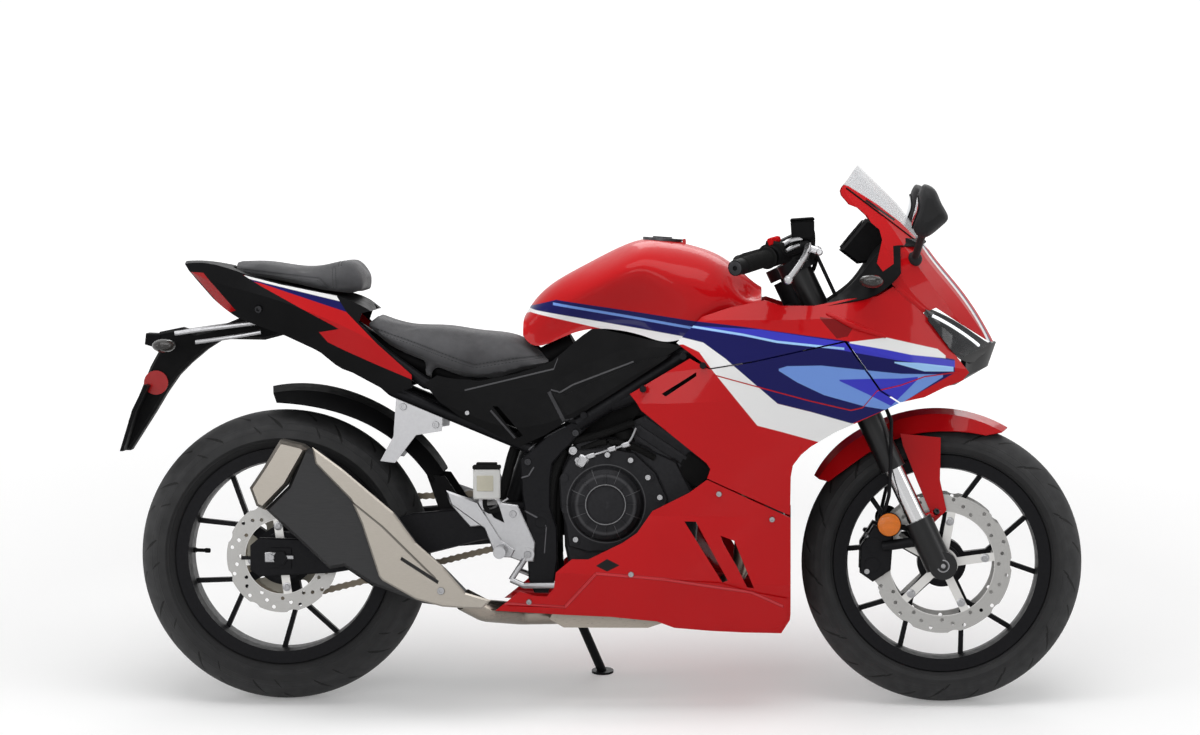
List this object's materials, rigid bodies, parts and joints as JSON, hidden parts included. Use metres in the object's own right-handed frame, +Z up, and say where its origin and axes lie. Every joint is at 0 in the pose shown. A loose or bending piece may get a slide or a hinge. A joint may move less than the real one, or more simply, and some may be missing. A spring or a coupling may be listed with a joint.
{
  "type": "sport motorcycle",
  "caption": "Faired sport bike with two wheels in line, low bars, a stepped seat, twin front discs and chain drive, leaning on its side stand.",
  "frame": {"origin": "on the floor, under the middle of the leaning bike: the centre of its bounding box in plan", "axes": "+X forward, +Y to the rider's left, the side it leans to, +Z up"},
  "size_m": [2.0581, 0.7716, 1.1518],
  "materials": {
    "main_frame": "satin",
    "engine": "satin",
    "engine_covers": "satin",
    "radiator": "matt",
    "fuel_tank": "gloss",
    "rider_seat": "matt",
    "pillion_seat": "matt",
    "tail_cowl": "matt",
    "tail_panels": "gloss",
    "tail_lenses": "clear red",
    "rear_fender": "matt",
    "turn_signals": "clear orange",
    "side_covers": "matt",
    "nose_cowl": "gloss",
    "windscreen": "clear",
    "headlamp": "clear",
    "mirrors": "matt",
    "side_cowls": "gloss",
    "lower_cowl": "gloss",
    "inner_cowl": "matt",
    "dash": "gloss",
    "exhaust_pipe": "brushed",
    "muffler": "matt",
    "muffler_guard": "brushed",
    "swingarm": "satin",
    "chain": "oiled",
    "hugger": "matt",
    "rider_steps": "cast",
    "pillion_steps": "cast",
    "rear_shock": "satin",
    "rear_brake": "satin",
    "tank_lid": "satin",
    "side_stand": "satin",
    "fork_legs": "anodised",
    "triple_clamps": "satin",
    "handlebars": "satin",
    "front_fender": "gloss",
    "front_calipers": "satin",
    "front_rim": "satin",
    "front_tyre": "matt",
    "front_discs": "ground",
    "rear_rim": "satin",
    "rear_tyre": "matt",
    "rear_disc": "ground",
    "rear_sprocket": "ground"
  },
  "bodies": {
    "chassis": {"main_frame": "main_frame", "engine": "engine", "engine_covers": "engine_covers", "radiator": "radiator", "fuel_tank": "fuel_tank", "rider_seat": "rider_seat", "pillion_seat": "pillion_seat", "tail_cowl": "tail_cowl", "tail_panels": "tail_panels", "tail_lenses": "tail_lenses", "rear_fender": "rear_fender", "turn_signals": "turn_signals", "side_covers": "side_covers", "nose_cowl": "nose_cowl", "windscreen": "windscreen", "headlamp": "headlamp", "mirrors": "mirrors", "side_cowls": "side_cowls", "lower_cowl": "lower_cowl", "inner_cowl": "inner_cowl", "dash": "dash", "exhaust_pipe": "exhaust_pipe", "muffler": "muffler", "muffler_guard": "muffler_guard", "swingarm": "swingarm", "chain": "chain", "hugger": "hugger", "rider_steps": "rider_steps", "pillion_steps": "pillion_steps", "rear_shock": "rear_shock", "rear_brake": "rear_brake"},
    "tank_lid": {"tank_lid": "tank_lid"},
    "side_stand": {"side_stand": "side_stand"},
    "fork": {"fork_legs": "fork_legs", "triple_clamps": "triple_clamps", "handlebars": "handlebars", "front_fender": "front_fender", "front_calipers": "front_calipers"},
    "front_wheel": {"front_rim": "front_rim", "front_tyre": "front_tyre", "front_discs": "front_discs"},
    "rear_wheel": {"rear_rim": "rear_rim", "rear_tyre": "rear_tyre", "rear_disc": "rear_disc", "rear_sprocket": "rear_sprocket"}
  },
  "joints": [
    {"name": "steering", "type": "hinge", "parent": "chassis", "child": "fork", "pos_m": [0.48164, -0.04485, 0.72055], "axis": [-0.4305, 0.1722, 0.886], "range_deg": [-32, 32]},
    {"name": "front_wheel_spin", "type": "hinge", "parent": "fork", "child": "front_wheel", "pos_m": [0.72916, -0.12747, 0.29551], "axis": [0, 0.9816, -0.1908], "continuous": true},
    {"name": "rear_wheel_spin", "type": "hinge", "parent": "chassis", "child": "rear_wheel", "pos_m": [-0.68079, -0.1251, 0.30771], "axis": [0, 0.9816, -0.1908], "continuous": true},
    {"name": "side_stand_swing", "type": "hinge", "parent": "chassis", "child": "side_stand", "pos_m": [-0.09, -0.03917, 0.2257], "axis": [-0.0447, 0.9717, 0.232], "range_deg": [0, 94.55]},
    {"name": "tank_lid_hinge", "type": "hinge", "parent": "chassis", "child": "tank_lid", "pos_m": [0.17716, 0.00391, 0.97139], "axis": [0, 0.9816, -0.1908], "range_deg": [0, 95]}
  ]
}
